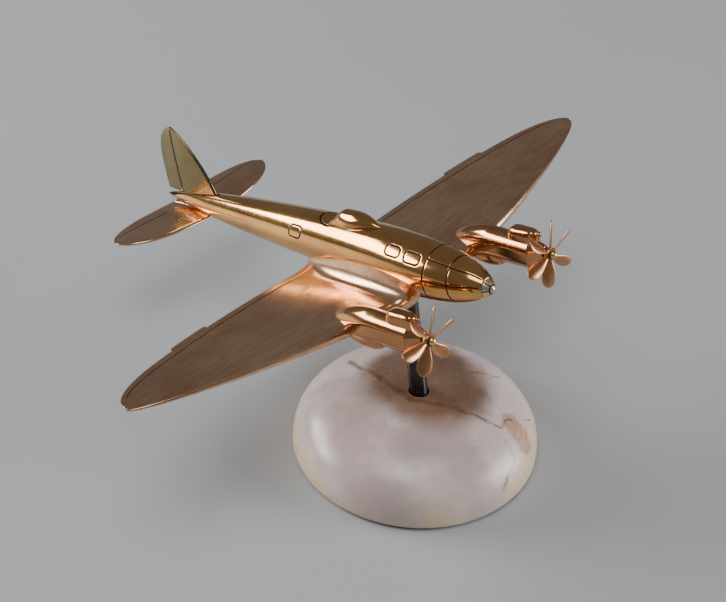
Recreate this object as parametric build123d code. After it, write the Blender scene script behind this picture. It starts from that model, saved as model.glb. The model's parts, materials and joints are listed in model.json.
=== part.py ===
from build123d import *
from math import cos, pi, sin, sqrt
import os

os.makedirs("parts", exist_ok=True)

# Millimetres. The row frame has its origin at the centre of the felt's underside,
# +Z up, the nose towards -Y and the aircraft's port wing towards +X.
# The aircraft is drawn level in its own frame, then pitched nose up and rolled a little
# so that its port wing rides higher.

# stand
BASE_RADIUS = 45.0
BASE_BULGE_HEIGHT = 2.5
BASE_HEIGHT = 26.1
BASE_FOOT_RADIUS = 43.6
FELT_RADIUS = 43.3
FELT_THICKNESS = 0.9
POST_DIAMETER = 6.5
POST_LEAN = 12.0
POST_LENGTH = 48.0
POST_RECESS_DEPTH = 4.0
STUD_RADIUS = 2.0
STUD_HOLE_RADIUS = 2.2
NUT_RADIUS = 3.9
NUT_THICKNESS = 3.2
WASHER_RADIUS = 5.0
WASHER_THICKNESS = 0.8
COUNTERBORE_RADIUS = 6.2
COUNTERBORE_TOP = 8.6
COUNTERBORE_DEPTH = BASE_HEIGHT - COUNTERBORE_TOP
STUD_PAST_NUT = 0.6
STUD_IN_POST = 5.0
BELLY_STUD_START = 34.0

# aircraft attitude
PITCH = 15.58
ROLL = 1.69
DATUM_HEIGHT = 82.7

# fuselage
NOSE_TIP = -29.2
NOSE_CAP_SEAM = -26.2
WIDEST_STATION = 15.0
TAIL_END = 140.75
FUSELAGE_RADIUS = 10.57
TAIL_DROP = 3.0
NOSE_DROP = 0.6
SPIGOT_RADIUS = 1.1
SPIGOT_LENGTH = 4.0

# wing
HALF_SPAN = 113.0
TIP_STATION = HALF_SPAN - 0.1
WING_ROOT_HEIGHT = -10.4
DIHEDRAL = 0.088
WING_TWIST = 1.0
TIP_FORWARD = 3.5
TIP_POWER = 26
LEADING_POWER = 34
TRAILING_POWER = 15
SECTION_STEPS = 8
SPAN_STEPS = 14
TAB_CENTRE = 70.4
TAB_LENGTH = 19.0
TAB_DEPTH = 3.6
TAB_THICKNESS = 0.8
TAB_SWEEP = 7.5

# tail
TAIL_HALF_SPAN = 38.2
TAIL_HEIGHT = -6.9
TAIL_THICKNESS = 1.9
TAIL_DIHEDRAL = 4.4
FIN_THICKNESS = 2.0

# engines and propellers
ENGINE_OFFSET = 31.0
SHAFT_HEIGHT = -3.6
NACELLE_FRONT = -25.2
SPACER_THICKNESS = 0.8
SPACER_RADIUS = 1.9
AXIAL_GAP = 0.2
HUB_THICKNESS = 2.0
HUB_STATION = NACELLE_FRONT - SPACER_THICKNESS - AXIAL_GAP - HUB_THICKNESS / 2
HUB_RADIUS = 2.4
BLADE_COUNT = 6
BLADE_TIP_RADIUS = 12.3
BLADE_ROOT_RADIUS = 1.5
BLADE_ROOT_WIDTH = 1.7
BLADE_WIDTH = 4.8
BLADE_THICKNESS = 0.8
BLADE_PITCH = 40.0
PIN_RADIUS = 0.8
RUNNING_CLEARANCE = 0.05
PIN_HEAD_RADIUS = 1.45
PIN_HEAD_HEIGHT = 1.6
PIN_DEPTH = 7.0
STARBOARD_FIRST_BLADE = 63.5
PORT_FIRST_BLADE = 76.1
SCOOP_CENTRE = (ENGINE_OFFSET, -15.6, 1.2)
SCOOP_HALF_SIZES = (3.4, 8.4, 3.6)
BATH_CENTRE = (ENGINE_OFFSET, 4.0, -10.4)
BATH_HALF_SIZES = (5.0, 11.5, 4.2)
CANOPY_CENTRE = (0, 34.4, 8.9)
CANOPY_HALF_SIZES = (4.9, 14.9, 4.9)
GONDOLA_CENTRE = (0, 42.0, -9.2)
GONDOLA_HALF_SIZES = (5.6, 17.0, 4.9)

AIRCRAFT = Location((0, 0, DATUM_HEIGHT), (-PITCH, -ROLL, 0))
POST_FOOT = Location((0, 0, BASE_HEIGHT), (-POST_LEAN, 0, 0))


def across_plane(y):
    """Plane across the fuselage at station y: local x is +X and local y is -Z."""
    return Plane(origin=(0, y, 0), x_dir=(1, 0, 0), z_dir=(0, 1, 0))


def along_plane(x):
    """Plane along the fuselage at half-span x: local x is +Y and local y is +Z."""
    return Plane(origin=(x, 0, 0), x_dir=(0, 1, 0), z_dir=(1, 0, 0))


def rod(radius, start, end):
    """Upright rod from height start to height end."""
    return Pos(0, 0, (start + end) / 2) * Cylinder(radius, end - start)


def lengthwise_rod(radius, start, end, x, z):
    """Rod along Y from station start to station end."""
    return Pos(x, (start + end) / 2, z) * Rot(90, 0, 0) * Cylinder(radius, end - start)


def body_radius(y):
    """Fuselage radius: a full bullet nose and a long taper to the tail."""
    if y < WIDEST_STATION:
        u = (WIDEST_STATION - y) / (WIDEST_STATION - NOSE_TIP)
        return FUSELAGE_RADIUS * (1 - u**2.8) ** 0.65
    u = (y - WIDEST_STATION) / (TAIL_END - WIDEST_STATION)
    return FUSELAGE_RADIUS * (1 - u**1.4) ** 0.66


def body_height(y):
    """Height of the fuselage's centre line, drooping towards both ends."""
    if y < WIDEST_STATION:
        return -0.15 - NOSE_DROP * (WIDEST_STATION - y) / (WIDEST_STATION - NOSE_TIP)
    u = (y - WIDEST_STATION) / (TAIL_END - WIDEST_STATION)
    return -0.15 - TAIL_DROP * u**1.6


def body_section(y):
    """Round section of the fuselage at station y."""
    return across_plane(y) * Pos(0, -body_height(y)) * Circle(body_radius(y))


def body_loft(stations):
    """Smooth solid through the fuselage's sections at these stations."""
    return loft([body_section(y) for y in stations])


def wing_leading(x):
    """Station of the wing's leading edge: a gentle sweep that grows outboard."""
    return 2.2 + 0.0183 * x + 0.0017 * x**2


def wing_trailing(x):
    """Station of the wing's trailing edge: almost straight, curving in outboard."""
    return 53.4 - 0.0094 * x - 0.0011 * x**2


def wing_rounding(x, power):
    """Share of a wing dimension that is left as the tip rounds off; a high power rounds late."""
    return sqrt(max(0.0, 1 - (x / HALF_SPAN) ** power))


def wing_chord(x):
    """Leading and trailing stations of the chord at half-span x."""
    middle = (wing_leading(x) + wing_trailing(x)) / 2 - TIP_FORWARD
    leading = middle - (middle - wing_leading(x)) * wing_rounding(x, LEADING_POWER)
    trailing = middle + (wing_trailing(x) - middle) * wing_rounding(x, TRAILING_POWER)
    return leading, trailing


def wing_thickness(x):
    """Greatest thickness of the wing section at half-span x."""
    return 0.6 + 6.4 * (1 - (x / (HALF_SPAN + 6)) ** 1.3) * wing_rounding(x, TIP_POWER) ** 0.7


def wing_section(x):
    """Aerofoil section: rounded leading edge and a blunt trailing edge."""
    start, end = wing_chord(x)
    middle_height = WING_ROOT_HEIGHT + DIHEDRAL * x
    thick = wing_thickness(x)

    def half_depth(s):
        shape = 0.2969 * sqrt(s) - 0.126 * s - 0.3516 * s**2 + 0.2843 * s**3 - 0.1015 * s**4
        return 5 * thick * shape + 0.2 * s

    upper = []
    lower = []
    for i in range(1, SECTION_STEPS + 1):
        s = (1 - cos(pi * i / SECTION_STEPS)) / 2
        y = start + s * (end - start)
        camber = middle_height + WING_TWIST * (s - 0.5)
        upper.append((y, camber + half_depth(s)))
        lower.append((y, camber - half_depth(s)))
    nose = (start, middle_height - WING_TWIST / 2)
    outline = Spline(*reversed(upper), nose, *lower)
    closing = Line(lower[-1], upper[-1])
    return along_plane(x) * make_face(Curve() + [outline, closing])


def wing_half():
    """Port half of the wing, from the centre line to the rounded tip."""
    stations = [TIP_STATION * sin(pi / 2 * i / SPAN_STEPS) for i in range(SPAN_STEPS + 1)]
    return loft([wing_section(x) for x in stations], ruled=True)


def ring_profile(half_width, top, bottom):
    """Eight-sided engine section with chamfered shoulders, on an across plane."""
    shoulder = 0.55
    middle = (top + bottom) / 2
    half_height = (top - bottom) / 2
    corners = [
        (half_width * shoulder, half_height),
        (half_width, half_height * shoulder),
        (half_width, -half_height * shoulder),
        (half_width * shoulder, -half_height),
        (-half_width * shoulder, -half_height),
        (-half_width, -half_height * shoulder),
        (-half_width, half_height * shoulder),
        (-half_width * shoulder, half_height),
    ]
    return [(ENGINE_OFFSET + x, -(middle + z)) for x, z in corners]


def nacelle_solid():
    """Engine cowling: short cone at the shaft, long faceted barrel, tail over the wing."""
    stations = [
        (NACELLE_FRONT, 2.1, -1.5, -5.7),
        (-20.5, 4.9, 1.0, -9.0),
        (-10.0, 5.4, 1.1, -10.6),
        (2.0, 5.6, 0.8, -11.4),
        (9.0, 5.2, -0.6, -11.4),
        (15.0, 4.0, -3.6, -11.0),
        (20.0, 1.4, -6.5, -10.0),
    ]
    faces = []
    for y, half_width, top, bottom in stations:
        outline = Polyline(*ring_profile(half_width, top, bottom), close=True)
        faces.append(across_plane(y) * make_face(outline))
    return loft(faces, ruled=True)


def ellipsoid(centre, half_sizes):
    """Solid ellipsoid with these half sizes along X, Y and Z."""
    return Pos(*centre) * scale(Sphere(1), by=half_sizes)


def blade(angle):
    """Rounded paddle blade, pitched about its own radius and turned to its angle."""
    width = BLADE_WIDTH / 2
    root = BLADE_ROOT_WIDTH / 2
    widest = BLADE_TIP_RADIUS - width * 1.35
    side = Spline(
        (root, BLADE_ROOT_RADIUS),
        (width, widest),
        (0, BLADE_TIP_RADIUS),
        (-width, widest),
        (-root, BLADE_ROOT_RADIUS),
    )
    foot = Line((-root, BLADE_ROOT_RADIUS), (root, BLADE_ROOT_RADIUS))
    paddle = extrude(make_face(Curve() + [side, foot]), BLADE_THICKNESS / 2, both=True)
    upright = Rot(90, 0, 0) * paddle
    pitched = Rot(0, 0, BLADE_PITCH) * upright
    return Rot(0, 90 - angle, 0) * pitched


def propeller(first_angle):
    """Six paddle blades round a drilled hub, about the local Y axis."""
    hub = Rot(90, 0, 0) * Cylinder(HUB_RADIUS, HUB_THICKNESS)
    wheel = hub
    for i in range(BLADE_COUNT):
        wheel += blade(first_angle + i * 360 / BLADE_COUNT)
    bore = Rot(90, 0, 0) * Cylinder(PIN_RADIUS + RUNNING_CLEARANCE, 3 * HUB_THICKNESS)
    return wheel - bore


def propeller_pin():
    """Pin with a domed head in front of the hub, about the local Y axis."""
    back_of_head = -HUB_THICKNESS / 2 - AXIAL_GAP
    tip = HUB_THICKNESS / 2 + AXIAL_GAP + SPACER_THICKNESS + PIN_DEPTH
    shank = lengthwise_rod(PIN_RADIUS, back_of_head - 0.2, tip, 0, 0)
    dome = scale(Sphere(1), by=(PIN_HEAD_RADIUS, PIN_HEAD_HEIGHT, PIN_HEAD_RADIUS))
    head = Pos(0, back_of_head, 0) * (dome & Pos(0, -5, 0) * Box(10, 10, 10))
    return shank + head


def fin_face():
    """Side outline of the fin and rudder: swept front, round top, bulged back."""
    front = Spline((109.8, 0.5), (113.0, 11.0), (119.2, 19.0), (126.2, 26.0), (129.6, 27.8))
    back = Spline((129.6, 27.8), (132.8, 26.6), (137.3, 20.2), (139.3, 9.0), (139.0, 0.5))
    foot = Line((139.0, 0.5), (109.8, 0.5))
    return along_plane(0) * make_face(Curve() + [front, back, foot])


def tailplane_solid():
    """Port tailplane: elliptical plan, slight dihedral, from the centre line out."""
    front = Spline((0, 114.6), (14, 114.4), (20, 115.4), (27, 117.9), (33, 121.3), (TAIL_HALF_SPAN, 127.5))
    back = Spline((TAIL_HALF_SPAN, 127.5), (33, 133.6), (27, 136.5), (20, 138.4), (12, 139.2), (0, 139.4))
    root = Line((0, 139.4), (0, 114.6))
    slab = extrude(make_face(Curve() + [front, back, root]), TAIL_THICKNESS / 2, both=True)
    tilted = Pos(0, 0, TAIL_HEIGHT) * Rot(0, -TAIL_DIHEDRAL, 0) * slab
    port_side = Pos(50, 120, 0) * Box(100, 100, 40)
    return tilted & port_side


def base_profile():
    """Half section of the domed stone: flat foot, tight lower edge, flattened dome."""
    foot = (BASE_FOOT_RADIUS, FELT_THICKNESS)
    bulge = (BASE_RADIUS, BASE_BULGE_HEIGHT)
    rise = BASE_HEIGHT - BASE_BULGE_HEIGHT
    shoulders = []
    for share in (0.0, 0.12, 0.26, 0.42, 0.58, 0.74, 0.88, 1.0):
        t = share * pi / 2
        radius = BASE_RADIUS * max(0.0, cos(t)) ** 0.85
        shoulders.append((radius if share < 1 else 0.0, BASE_BULGE_HEIGHT + rise * sin(t) ** 0.82))
    dome = Spline(*shoulders, tangents=((0, 1), (-1, 0)))
    edge = TangentArc(bulge, foot, tangent=(0, -1))
    flat = Line(foot, (0, FELT_THICKNESS))
    axis = Line((0, FELT_THICKNESS), (0, BASE_HEIGHT))
    return Plane.XZ * make_face(Curve() + [dome, edge, flat, axis])


def export(node, solid):
    """Write one node's solid."""
    export_step(solid, os.path.join("parts", node + ".step"))


# ---------------------------------------------------------------- stand
stone = revolve(base_profile(), Axis.Z)
recess = POST_FOOT * rod(POST_DIAMETER / 2 + 0.3, -POST_RECESS_DEPTH, 5)
stud_hole = POST_FOOT * rod(STUD_HOLE_RADIUS, -40, 5)
counterbore = POST_FOOT * rod(COUNTERBORE_RADIUS, -60, -COUNTERBORE_DEPTH)
stone_base = stone - recess - stud_hole - counterbore
felt_pad = rod(FELT_RADIUS, 0, FELT_THICKNESS)

washer_top = -COUNTERBORE_DEPTH
nut_top = washer_top - WASHER_THICKNESS
washer_disc = rod(WASHER_RADIUS, nut_top, washer_top)
base_washer = POST_FOOT * (washer_disc - rod(STUD_HOLE_RADIUS, nut_top, washer_top))
nut_blank = extrude(RegularPolygon(NUT_RADIUS, 6), NUT_THICKNESS)
nut_solid = Pos(0, 0, nut_top - NUT_THICKNESS) * nut_blank - rod(STUD_RADIUS, -40, 0)
base_nut = POST_FOOT * nut_solid
base_stud = POST_FOOT * rod(STUD_RADIUS, nut_top - NUT_THICKNESS - STUD_PAST_NUT, STUD_IN_POST)

# ---------------------------------------------------------------- aircraft castings
body_stations = [NOSE_CAP_SEAM, -23, -18, -10, 0, 15, 35, 60, 85, 105, 122, 134, TAIL_END - 0.35]
fuselage_blank = body_loft(body_stations)
half_wing = wing_half()
wing_pair = half_wing + mirror(half_wing, about=Plane.YZ)

post_blank = POST_FOOT * rod(POST_DIAMETER / 2, -POST_RECESS_DEPTH, POST_LENGTH)
belly_hole = POST_FOOT * rod(STUD_RADIUS, BELLY_STUD_START, POST_LENGTH + 1)
belly_stud = POST_FOOT * rod(STUD_RADIUS, BELLY_STUD_START, POST_LENGTH)

spigot_end = NOSE_CAP_SEAM + SPIGOT_LENGTH
spigot = lengthwise_rod(SPIGOT_RADIUS, NOSE_CAP_SEAM, spigot_end, 0, body_height(NOSE_CAP_SEAM))
fin_slab = extrude(fin_face(), FIN_THICKNESS / 2, both=True)
fuselage = fuselage_blank - AIRCRAFT.inverse() * belly_hole - spigot
cap_stations = [NOSE_TIP + 0.12, NOSE_TIP + 0.5, NOSE_TIP + 1.2, NOSE_TIP + 2.2, NOSE_CAP_SEAM]
nose_cap = body_loft(cap_stations) + spigot

nacelle_blank = nacelle_solid()
pin_hole = lengthwise_rod(PIN_RADIUS, NACELLE_FRONT, NACELLE_FRONT + PIN_DEPTH, ENGINE_OFFSET, SHAFT_HEIGHT)
nacelle = nacelle_blank - pin_hole
scoop_blank = ellipsoid(SCOOP_CENTRE, SCOOP_HALF_SIZES)
scoop = scoop_blank - nacelle_blank
bath_blank = ellipsoid(BATH_CENTRE, BATH_HALF_SIZES)
wing_panel = half_wing - fuselage_blank - nacelle_blank
bath = bath_blank - nacelle_blank - half_wing
canopy = ellipsoid(CANOPY_CENTRE, CANOPY_HALF_SIZES) - fuselage_blank
gondola = ellipsoid(GONDOLA_CENTRE, GONDOLA_HALF_SIZES) - fuselage_blank - wing_pair
tailplane = tailplane_solid() - fuselage_blank
fin = fin_slab - fuselage_blank - tailplane_solid() - mirror(tailplane_solid(), about=Plane.YZ)
tab_height = WING_ROOT_HEIGHT + DIHEDRAL * TAB_CENTRE + WING_TWIST / 2
tab_place = Location((TAB_CENTRE, wing_trailing(TAB_CENTRE) - 0.2, tab_height), (0, -5, -TAB_SWEEP))
tab_blank = tab_place * Box(TAB_LENGTH, TAB_DEPTH, TAB_THICKNESS)
trim_tab = tab_blank - half_wing

support_post = post_blank - AIRCRAFT * (fuselage_blank + wing_pair)
support_post = support_post - POST_FOOT * rod(STUD_RADIUS, -POST_RECESS_DEPTH, STUD_IN_POST)
support_post = support_post - belly_hole

# ---------------------------------------------------------------- hand in
export("stone_base", stone_base)
export("felt_pad", felt_pad)
export("base_stud", base_stud)
export("base_washer", base_washer)
export("base_nut", base_nut)
export("support_post", support_post)
export("belly_stud", belly_stud)
export("fuselage", AIRCRAFT * fuselage)
export("nose_cap", AIRCRAFT * nose_cap)
export("dorsal_canopy", AIRCRAFT * canopy)
export("ventral_gondola", AIRCRAFT * gondola)
export("fin", AIRCRAFT * fin)

export("port_wing", AIRCRAFT * wing_panel - belly_hole)
export("starboard_wing", AIRCRAFT * mirror(wing_panel, about=Plane.YZ) - belly_hole)

paired = {
    "tailplane": tailplane,
    "engine_cowling": nacelle,
    "intake_fairing": scoop,
    "radiator_bath": bath,
    "trim_tab": trim_tab,
}
for name, solid in paired.items():
    export("port_" + name, AIRCRAFT * solid)
    export("starboard_" + name, AIRCRAFT * mirror(solid, about=Plane.YZ))

spacer_start = NACELLE_FRONT - SPACER_THICKNESS
for side, offset, first_blade in (
    ("port", ENGINE_OFFSET, PORT_FIRST_BLADE),
    ("starboard", -ENGINE_OFFSET, STARBOARD_FIRST_BLADE),
):
    hub_place = Pos(offset, HUB_STATION, SHAFT_HEIGHT)
    spacer = lengthwise_rod(SPACER_RADIUS, spacer_start, NACELLE_FRONT, offset, SHAFT_HEIGHT)
    spacer_hole = lengthwise_rod(PIN_RADIUS, spacer_start, NACELLE_FRONT, offset, SHAFT_HEIGHT)
    export(side + "_propeller", AIRCRAFT * hub_place * propeller(first_blade))
    export(side + "_propeller_pin", AIRCRAFT * hub_place * propeller_pin())
    export(side + "_shaft_spacer", AIRCRAFT * (spacer - spacer_hole))
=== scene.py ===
import json
from math import cos, pi, radians, sin

import bpy
import numpy as np
from mathutils import Matrix, Vector


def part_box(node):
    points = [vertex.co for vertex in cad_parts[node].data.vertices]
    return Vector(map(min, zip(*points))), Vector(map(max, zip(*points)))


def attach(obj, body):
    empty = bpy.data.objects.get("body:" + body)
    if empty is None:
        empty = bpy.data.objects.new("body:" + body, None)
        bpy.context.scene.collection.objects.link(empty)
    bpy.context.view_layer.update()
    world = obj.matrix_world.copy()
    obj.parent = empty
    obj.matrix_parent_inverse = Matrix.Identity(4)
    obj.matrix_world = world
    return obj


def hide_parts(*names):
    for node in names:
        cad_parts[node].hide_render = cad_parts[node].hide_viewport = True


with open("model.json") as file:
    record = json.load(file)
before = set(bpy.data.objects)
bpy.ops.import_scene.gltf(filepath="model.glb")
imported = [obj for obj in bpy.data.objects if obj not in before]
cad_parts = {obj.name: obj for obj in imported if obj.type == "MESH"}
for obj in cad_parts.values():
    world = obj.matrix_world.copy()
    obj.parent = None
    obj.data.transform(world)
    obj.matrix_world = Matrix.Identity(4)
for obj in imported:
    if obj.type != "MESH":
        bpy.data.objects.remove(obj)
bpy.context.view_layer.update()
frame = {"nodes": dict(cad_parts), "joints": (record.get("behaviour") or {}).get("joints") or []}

# ------------------------------------------------------------------ sizes
# Shapes of the aircraft are worked out level, in millimetres, in its own frame:
# +X to port, +Y to the tail, +Z up. place() rolls and pitches them into the shared frame in metres.
MM = 0.001
SPIN = {joint["name"]: joint for joint in frame["joints"]}
PORT_SPIN = SPIN["port_propeller_spin"]
STARBOARD_SPIN = SPIN["starboard_propeller_spin"]
PITCH_COS = -PORT_SPIN["axis"][1]
PITCH_SIN = PORT_SPIN["axis"][2]
HUB_STATION = -27.2
SHAFT_HEIGHT = -3.6
HUB_GAP = (Vector(PORT_SPIN["pos_m"]) - Vector(STARBOARD_SPIN["pos_m"])) / MM
ENGINE_OFFSET = HUB_GAP.length / 2
ROLL_COS = HUB_GAP.x / HUB_GAP.length
ROLL_SIN = (1 - ROLL_COS**2) ** 0.5
SHAFT_MIDDLE = (Vector(PORT_SPIN["pos_m"]) + Vector(STARBOARD_SPIN["pos_m"])) / MM / 2
DATUM_HEIGHT = SHAFT_MIDDLE.z + PITCH_SIN * HUB_STATION - PITCH_COS * ROLL_COS * SHAFT_HEIGHT

NOSE_TIP = -29.2
NOSE_CAP_SEAM = -26.2
WIDEST_STATION = 15.0
TAIL_END = 140.75
FUSELAGE_RADIUS = 10.57

HALF_SPAN = 112.9
WING_ROOT_HEIGHT = -10.4
DIHEDRAL = 0.088
WING_TWIST = 1.0
ROOT_CONTACT = 17.0

TAIL_HALF_SPAN = 38.1
TAIL_HEIGHT = -6.9
TAIL_DIHEDRAL = 0.077

BASE_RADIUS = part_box("stone_base")[1].x / MM
BASE_HEIGHT = 26.1
BASE_BULGE_HEIGHT = 2.5
FELT_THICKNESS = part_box("felt_pad")[1].z / MM
POST_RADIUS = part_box("support_post")[1].x / MM
POST_LEAN = radians(12.0)

BLADE_TIP_RADIUS = 12.3
BLADE_COUNT = 6
FIRST_BLADE = {"port": radians(76.1), "starboard": radians(63.5)}

ROOT_BODY = "aircraft_on_stand"


# ------------------------------------------------------------------ mesh tools
def place(points):
    """Level aircraft millimetres to the shared frame in metres.

    Roll: x' = cr*x - sr*z, z' = sr*x + cr*z; pitch: y'' = c*y + s*z', z'' = datum - s*y + c*z'."""
    x, y, z = points[..., 0], points[..., 1], points[..., 2]
    rolled_x = ROLL_COS * x - ROLL_SIN * z
    rolled_z = ROLL_SIN * x + ROLL_COS * z
    along = PITCH_COS * y + PITCH_SIN * rolled_z
    height = DATUM_HEIGHT - PITCH_SIN * y + PITCH_COS * rolled_z
    return np.stack([rolled_x, along, height], -1) * MM


def mirrored(points):
    """The same points on the other side of the aircraft's centre plane."""
    return points * np.array([-1.0, 1.0, 1.0])


def runs(*stretches):
    """Sample positions along a line: each stretch is (start, end, step) and ends where the next begins."""
    parts = [np.linspace(a, b, max(2, int(round((b - a) / step)) + 1))[:-1] for a, b, step in stretches]
    return np.concatenate(parts + [[stretches[-1][1]]])


def ease(t):
    """Smooth step 3t^2 - 2t^3 of a value held between 0 and 1."""
    t = np.clip(t, 0, 1)
    return t * t * (3 - 2 * t)


def tube_faces(rows, columns, offset=0):
    """Quads of a grid of rows whose last column joins the first, and fans that close both end rows."""
    i, j = np.meshgrid(np.arange(rows - 1), np.arange(columns), indexing="ij")
    k = (j + 1) % columns
    quads = np.stack([i * columns + j, i * columns + k, (i + 1) * columns + k, (i + 1) * columns + j], -1)
    around = np.arange(columns)
    after = (around + 1) % columns
    first = np.stack([after, around, np.full(columns, rows * columns)], -1)
    last_row = (rows - 1) * columns
    last = np.stack([last_row + around, last_row + after, np.full(columns, rows * columns + 1)], -1)
    return quads.reshape(-1, 4) + offset, np.concatenate([first, last]) + offset


def outward(points, quads, triangles):
    """Both face lists, turned over if the closed volume they enclose comes out negative."""
    a, b, c, d = (points[quads[:, n]] for n in range(4))
    volume = np.sum(a * np.cross(b, c)) + np.sum(a * np.cross(c, d))
    p, q, r = (points[triangles[:, n]] for n in range(3))
    volume += np.sum(p * np.cross(q, r))
    if volume < 0:
        return quads[:, ::-1], triangles[:, ::-1]
    return quads, triangles


def build(name, loops, marks=None):
    """One object from closed loops of points: each item is a (rows, columns, 3) grid in metres.

    marks holds, for each named value, one (rows, columns) array per item, stored on the points."""
    points, faces, values = [], [], {key: [] for key in marks or {}}
    offset = 0
    for number, grid in enumerate(loops):
        rows, columns = grid.shape[:2]
        flat = np.concatenate([grid.reshape(-1, 3), [grid[0].mean(0)], [grid[-1].mean(0)]])
        quads, triangles = outward(flat, *tube_faces(rows, columns))
        faces += (quads + offset).tolist() + (triangles + offset).tolist()
        points.append(flat)
        for key in values:
            mark = np.broadcast_to(marks[key][number], (rows, columns))
            values[key].append(np.concatenate([mark.ravel(), [mark[0].mean(), mark[-1].mean()]]))
        offset += len(flat)
    mesh = bpy.data.meshes.new(name)
    mesh.from_pydata(np.concatenate(points).tolist(), [], faces)
    for key, parts in values.items():
        layer = mesh.attributes.new(key, "FLOAT", "POINT")
        layer.data.foreach_set("value", np.concatenate(parts).astype(np.float32))
    mesh.shade_smooth()
    piece = bpy.data.objects.new(name, mesh)
    bpy.context.scene.collection.objects.link(piece)
    return piece


def finish_piece(piece, body, node, material):
    """Ride a piece on its body in place of a CAD node, with that node's finish."""
    piece.data.materials.append(material)
    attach(piece, body)
    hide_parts(node)
    return piece


# ------------------------------------------------------------------ fuselage
def body_radius(y):
    """Fuselage radius: R*(1-u^2.8)^0.65 forward of the widest station, R*(1-u^1.4)^0.66 aft of it."""
    ahead = np.clip((WIDEST_STATION - y) / (WIDEST_STATION - NOSE_TIP), 0, 1)
    aft = np.clip((y - WIDEST_STATION) / (TAIL_END - WIDEST_STATION), 0, 1)
    return FUSELAGE_RADIUS * (1 - ahead**2.8) ** 0.65 * (1 - aft**1.4) ** 0.66


def body_height(y):
    """Centre height of the fuselage, falling 0.6 mm to the nose and 3 mm to the tail."""
    ahead = np.clip((WIDEST_STATION - y) / (WIDEST_STATION - NOSE_TIP), 0, 1)
    aft = np.clip((y - WIDEST_STATION) / (TAIL_END - WIDEST_STATION), 0, 1)
    return -0.15 - 0.6 * ahead - 3.0 * aft**1.6


def body_narrowing(y):
    """Share of the round width kept as the tail flattens into an upright wedge."""
    return 1 - 0.3 * ease((y - 112) / 29)


def on_body(y, angle, lift=0.0):
    """Point on the fuselage at a station and an angle from the top, towards port."""
    radius = body_radius(y) + lift
    x = radius * body_narrowing(y) * np.sin(angle)
    z = body_height(y) + radius * np.cos(angle)
    return np.stack([x, y + 0 * x, z], -1)


def line_mark(distance, width):
    """Engraved line: a bell curve of the distance to its centre."""
    return np.exp(-((distance / width) ** 2))


def panel_mark(y, angle, centre, middle, half_length, half_height, corner, width):
    """Engraved outline of a rounded rectangle on the skin, on both sides of the aircraft."""
    along = np.abs(y - centre) - (half_length - corner)
    across = np.abs(body_radius(y) * (np.abs(angle) - middle)) - (half_height - corner)
    outside = np.hypot(np.maximum(along, 0), np.maximum(across, 0))
    distance = outside + np.minimum(np.maximum(along, across), 0) - corner
    return line_mark(distance, width)


RING_STATIONS = ((-5.5, 0.0), (-15.0, 0.06))
GLAZING_BARS = (radians(33), radians(80))
LINE_WIDTH = 0.2


def fuselage_engraving(y, angle):
    """How deeply the tool cut, 0 to 1: glazing rings and bars, windows, hatch and the gunner's cut."""
    height = body_radius(y) * np.cos(angle)
    mark = np.zeros_like(y)
    for station, lean in RING_STATIONS:
        mark = np.maximum(mark, line_mark(y - station - lean * height, LINE_WIDTH))
    glazed = ease((-5.3 - y) / 0.3) * ease((y + 25.6) / 0.5)
    for bar in GLAZING_BARS:
        lean = bar - 0.18 * ease((-16 - y) / 10)
        off = body_radius(y) * (np.abs(angle) - lean)
        mark = np.maximum(mark, glazed * line_mark(off, LINE_WIDTH))
    mark = np.maximum(mark, panel_mark(y, angle, 9.3, radians(41), 3.3, 2.05, 1.75, LINE_WIDTH))
    mark = np.maximum(mark, panel_mark(y, angle, 0.4, radians(43), 3.4, 2.1, 1.5, LINE_WIDTH))
    mark = np.maximum(mark, panel_mark(y, angle, 58.3, radians(61), 3.1, 2.2, 1.5, LINE_WIDTH))
    cut = np.hypot((y - 43.2) / 6.9, body_radius(y) * np.sin(angle) / 4.6)
    behind = ease((y - 42.6) / 0.8) * (np.cos(angle) > 0)
    mark = np.maximum(mark, behind * line_mark((cut - 1) * 5.2, 0.26))
    root = np.hypot((y - 125.5) / 14.6, body_radius(y) * np.sin(angle) / 1.5)
    mark = np.maximum(mark, 0.9 * (np.cos(angle) > 0) * (y > 108) * line_mark((root - 1) * 1.5, 0.3))
    return mark


def gunner_recess(y, angle):
    """Shallow hollow behind the canopy, inside the curved cut."""
    cut = np.hypot((y - 43.2) / 6.7, body_radius(y) * np.sin(angle) / 4.4)
    return 0.75 * ease((1 - cut) / 0.5) * (np.cos(angle) > 0)


def fuselage(material):
    """Body skin: circles of body_radius along the station line, cut in by the engraving."""
    stations = runs(
        (NOSE_CAP_SEAM, 13.6, 0.22), (13.6, 42.5, 1.3), (42.5, 52, 0.3), (52, 54.6, 0.8),
        (54.6, 62.2, 0.25), (62.2, 108, 1.7), (108, 140.2, 0.7), (140.2, TAIL_END, 0.08),
    )
    angles = np.linspace(-pi, pi, 272, endpoint=False)
    y, angle = np.meshgrid(stations, angles, indexing="ij")
    mark = fuselage_engraving(y, angle)
    points = on_body(y, angle, -0.15 * mark - gunner_recess(y, angle))
    piece = build("fuselage_skin", [place(points)], {"cut": [mark]})
    return finish_piece(piece, ROOT_BODY, "fuselage", material)


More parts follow.
